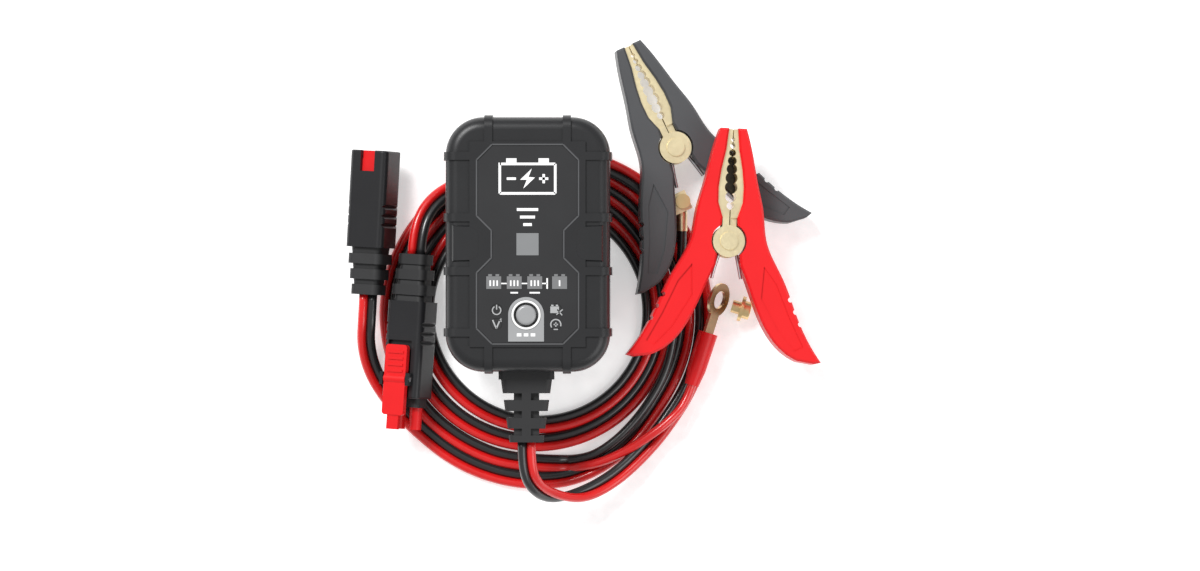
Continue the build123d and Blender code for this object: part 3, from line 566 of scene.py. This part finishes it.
def emblemOutlines():
    x, y = panelMarks["emblem"]
    half, top, bottom, line = 9.6, y + 4.6, y - 5.6, 0.9
    corners = [(x - half, top), (x + half, top), (x + half, bottom), (x - half, bottom), (x - half, y + 5.05)]
    outline = chain(corners, line)
    posts = [bar(x - 5.6, y + 5.8, 3.6, 1.5), bar(x + 5.6, y + 5.8, 3.6, 1.5)]
    bolt = [[(x + 1.5, y + 3.0), (x - 2.6, y - 0.9), (x - 0.2, y - 0.9), (x + 0.4, y + 0.2)],
            [(x - 1.5, y - 4.0), (x + 2.6, y - 0.1), (x + 0.3, y + 0.1), (x - 0.3, y - 1.0)]]
    signs = [bar(x - 5.6, y - 0.5, 3.2, line), bar(x + 5.6, y - 0.5, 3.2, line), bar(x + 5.6, y - 0.5, line, 3.2)]
    return outline + posts + bolt + signs


def levelOutlines():
    x, y = panelMarks["level"]
    return [bar(x, y + 2.6 - 2.6 * k, 7.4 - 2.2 * k, 1.0) for k in range(3)]


def barTree(finish):
    tree = bpy.data.node_groups.new("barRow", "GeometryNodeTree")
    sockets = {}
    kinds = {"Places": "Geometry", "Bar Size": "Vector", "Unevenness": "Float", "Seed": "Int"}
    for name, kind in kinds.items():
        socket = tree.interface.new_socket(name, in_out="INPUT", socket_type="NodeSocket" + kind)
        sockets[name] = socket.identifier
    tree.interface.new_socket("Bars", in_out="OUTPUT", socket_type="NodeSocketGeometry")
    steps = {
        "start": "NodeGroupInput", "box": "GeometryNodeMeshCube", "vary": "FunctionNodeRandomValue",
        "least": "ShaderNodeMath", "place": "GeometryNodeInstanceOnPoints",
        "solid": "GeometryNodeRealizeInstances", "paint": "GeometryNodeSetMaterial", "end": "NodeGroupOutput",
    }
    made = {key: tree.nodes.new(kind) for key, kind in steps.items()}
    made["least"].operation = "SUBTRACT"
    made["least"].inputs[0].default_value = 1
    made["vary"].inputs[3].default_value = 1  # largest scale, the smallest is 1 less the unevenness
    made["paint"].inputs["Material"].default_value = finishes[finish]
    wires = (
        ("start", 0, "place", "Points"), ("start", 1, "box", "Size"), ("start", 2, "least", 1),
        ("least", 0, "vary", 2), ("start", 3, "vary", "Seed"), ("box", 0, "place", "Instance"),
        ("vary", 1, "place", "Scale"), ("place", 0, "solid", 0), ("solid", 0, "paint", 0), ("paint", 0, "end", 0),
    )
    for source, out, target, into in wires:
        tree.links.new(made[source].outputs[out], made[target].inputs[into])
    return tree, sockets


def barRow(name, places, size, low, finish):
    cloud = bpy.data.meshes.new(name + "Places")
    cloud.from_pydata([(x * mm, y * mm, (low + size[2] / 2) * mm) for x, y in places], [], [])
    holder = bpy.data.objects.new(name + "Places", cloud)
    bpy.context.scene.collection.objects.link(holder)
    tree, sockets = barTree(finish)
    modifier = holder.modifiers.new("bars", "NODES")
    modifier.node_group = tree
    modifier[sockets["Bar Size"]] = [c * mm for c in size]
    modifier[sockets["Unevenness"]] = panelMarks["unevenness"]
    modifier[sockets["Seed"]] = panelMarks["seed"]
    bpy.context.view_layer.update()
    graph = bpy.context.evaluated_depsgraph_get()
    mesh = bpy.data.meshes.new_from_object(holder.evaluated_get(graph))
    holder.modifiers.remove(modifier)
    bpy.data.objects.remove(holder)
    piece = bpy.data.objects.new(name, mesh)
    bpy.context.scene.collection.objects.link(piece)
    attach(piece, "charger")


def lampOutlines():
    y = panelMarks["lampRow"]
    links = [bar(-8.15, y - 0.3, 1.9, 0.45), bar(-1.05, y - 0.3, 1.9, 0.45), bar(5.9, y - 0.3, 1.7, 0.45)]
    stop = [bar(6.8, y - 0.3, 0.55, 3.7)]
    captions = [bar(-4.6, y - 3.5, 2.6, 0.55), bar(2.5, y - 3.5, 3.6, 0.55)]
    return links + stop + captions


def iconOutlines():
    power = arcBand(-10.7, -22.9, 1.45, 0.42, 120, 420) + [bar(-10.7, -21.8, 0.42, 1.7)]
    risen = chain([(-12.1, -26.2), (-10.8, -29.2), (-9.5, -26.2)], 0.5)
    risen += [[(-9.9, -26.5), (-9.0, -27.0), (-9.1, -25.5)]]
    battery = [bar(9.4, -22.7, 3.0, 2.3), bar(8.6, -21.3, 0.8, 0.7), bar(10.2, -21.3, 0.8, 0.7)]
    cross = chain([(10.0, -24.4), (12.2, -22.6)], 0.4) + chain([(10.3, -22.6), (12.0, -24.6)], 0.4)
    repair = arcBand(9.8, -27.8, 1.75, 0.45, -20, 215) + [bar(9.8, -29.5, 1.5, 0.4)]
    repair += [bar(9.8, -27.8, 1.5, 0.5), bar(9.8, -27.8, 0.5, 1.5)]
    return power + risen + battery + cross + repair


def makePanelMarks():
    low, film, row = panelMarks["top"], panelMarks["film"], panelMarks["lampRow"]
    high = low + film
    raised("emblemMark", emblemOutlines(), low, high, "print")
    raised("levelMark", levelOutlines(), low, high, "print")
    raised("lampLinks", lampOutlines(), low, high, "print")
    postX, postY, postWidth, postHeight = panelMarks["lampPost"]
    posts = [(x + side * postX, row + postY) for x in panelMarks["lampPlaces"] for side in (-1, 1)]
    barRow("lampPosts", posts, (postWidth, postHeight, film), low, "panelLens")
    iconLow, iconHigh = low - panelMarks["iconSunk"], high + panelMarks["iconProud"]
    raised("iconMarks", iconOutlines(), iconLow, iconHigh, "icon")
    lampTop = nodeTop("battery_lamps")
    pitch, tickWidth, tickHeight = panelMarks["lampTick"]
    ticks = []
    for x, count in zip(panelMarks["lampPlaces"], panelMarks["lampBars"]):
        ticks += [(x + pitch * (k - (count - 1) / 2), row - 0.2) for k in range(count)]
    barRow("lampTicks", ticks, (tickWidth, tickHeight, film), lampTop, "print")
    labelTop = nodeTop("button_label")
    x, y, pitch, width, height = panelMarks["dashes"]
    dashes = [bar(x + pitch * k, y, width, height) for k in (-1, 0, 1)]
    raised("labelDashes", dashes, labelTop, labelTop + film, "print")


waistPad = {
    "inner": 16.6,
    "outer": 26.2,
    "half": 6.4,
    "corner": 3.6,
    "middleY": 0.3,
    "levelX": 22,
    "sunk": 0.3,
    "proud": 0.75,
    "slope": 0.7,
}


def waistOutline(side):
    outer, half, radius = waistPad["outer"], waistPad["half"], waistPad["corner"]
    x = waistPad["inner"] + radius
    points = [(outer, -half), (outer, half)]
    for y, start in ((half - radius, 90), (radius - half, 180)):
        for k in range(7):
            a = math.radians(start + 15 * k)
            points.append((x + radius * math.cos(a), y + radius * math.sin(a)))
    return [(side * px, py + waistPad["middleY"]) for px, py in points]


# panel rim strip: a thin raised outline round the face panel, lighter than the case as a painted highlight for
# light on the frame's chamfered edge
panelRimHighlight = {
    "corners": [(12.3, 34.55), (17.65, 29.2), (17.65, 9.85), (12.55, 4.75),
                (12.55, -4.75), (17.65, -9.85), (17.65, -29.2), (12.3, -34.55)],
    "levelAt": (18.4, 20.0),
    "width": 0.5,
    "sunk": 0.1,
    "proud": 0.1,
}


def makePanelRim():
    right = panelRimHighlight["corners"]
    loop = right + [(-x, y) for x, y in reversed(right)]
    top = surfaceTop("front_case", *panelRimHighlight["levelAt"])
    strips = chain(loop + loop[:1], panelRimHighlight["width"])
    raised("panelRimHighlight", strips, top - panelRimHighlight["sunk"], top + panelRimHighlight["proud"], "rim")


def makeWaistPads():
    for name, side in (("waistPadLeft", -1), ("waistPadRight", 1)):
        face = surfaceTop("front_case", side * waistPad["levelX"], waistPad["middleY"])
        low, high = face - waistPad["sunk"], face + waistPad["proud"]
        raised(name, [waistOutline(side)], low, high, "case", inset=waistPad["slope"])


bootMark = {
    "middle": (60.95, -37.9, 11.45),
    "along": (0.301, 0.954),
    "reach": (2.5, 1.5, 0.45),
    "rings": 10,
    "sides": 24,
}


def makeBootMark():
    x, y, z = bootMark["middle"]
    ax, ay = bootMark["along"]
    long, wide, tall = bootMark["reach"]
    mesh = bpy.data.meshes.new("bootMark")
    bm = bmesh.new()
    bmesh.ops.create_uvsphere(bm, u_segments=bootMark["sides"], v_segments=bootMark["rings"], radius=1)
    for v in bm.verts:
        u, w, h = v.co.x * long, v.co.y * wide, v.co.z * tall
        v.co = ((x + ax * u - ay * w) * mm, (y + ay * u + ax * w) * mm, (z + h) * mm)
    for face in bm.faces:
        face.smooth = True
    bm.to_mesh(mesh)
    bm.free()
    mesh.materials.append(finishes["leverRed"])
    piece = bpy.data.objects.new("bootMark", mesh)
    bpy.context.scene.collection.objects.link(piece)
    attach(piece, "charger")


makePanelMarks()
makeBootMark()
makePanelRim()
makeWaistPads()
print("marks and pads made")

# clamp springs: a coil with one leg on each handle, in each clamp's own plane
clampUp = Vector((0.069774, 0.039871, 0.996766))
clampSets = {
    "black": {
        "pivot": Vector((51.3, 34.0, 10.0)),
        "side": Vector((0.904863, 0.418106, -0.080065)),
        "tip": Vector((-0.419945, 0.907523, -0.006905)),
    },
    "red": {
        "pivot": Vector((69.8, 1.05, 22.4632)),
        "side": Vector((0.996586, -0.046998, -0.067881)),
        "tip": Vector((0.044139, 0.998099, -0.043014)),
    },
}
spring = {
    "radius": 3.6,
    "wire": 0.6,
    "half": 1.3,
    "turns": 2,
    "pointsPerTurn": 16,
    "legTop": (3.0, -3.6),
    "legEnd": (5.0, -13.0),
    "hook": 0.6,
}


def clampPoint(colour, u, v, w):
    own = clampSets[colour]
    return tuple(own["pivot"] + own["side"] * u + own["tip"] * v + clampUp * w)


def springTube(name, points, body):
    piece = routeCurve(name, points, spring["wire"] * mm)
    bpy.context.view_layer.update()
    mesh = bpy.data.meshes.new_from_object(piece)
    bpy.data.objects.remove(piece)
    mesh.materials.append(finishes["steel"])
    solid = bpy.data.objects.new(name, mesh)
    bpy.context.scene.collection.objects.link(solid)
    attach(solid, body)
    return solid


def springTurns(colour):
    top, half, radius = spring["legTop"], spring["half"], spring["radius"]
    start = math.degrees(math.atan2(top[1], -top[0]))
    steps = spring["pointsPerTurn"] * spring["turns"]
    turns = []
    for k in range(steps + 1):
        a = math.radians(start - 360 * spring["turns"] * k / steps)
        level = -half + 2 * half * k / steps
        turns.append(clampPoint(colour, radius * math.cos(a), radius * math.sin(a), level))
    return turns


def makeSprings():
    top, end, half, hook = spring["legTop"], spring["legEnd"], spring["half"], spring["hook"]
    bend = (-(top[0] + end[0]) / 2, (top[1] + end[1]) / 2)
    for colour in clampSets:
        still = [clampPoint(colour, -end[0], end[1], -half), clampPoint(colour, *bend, -half)]
        coilPart = springTube(colour + "SpringCoil", still + springTurns(colour), "charger")
        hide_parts(colour + "_spring")
        corners = ((top[0] - hook, top[1] + hook), top, end)
        moving = [clampPoint(colour, *corner, half) for corner in corners]
        springTube(colour + "SpringLeg", moving, colour + "_arm")


makeSprings()
print("springs wound")
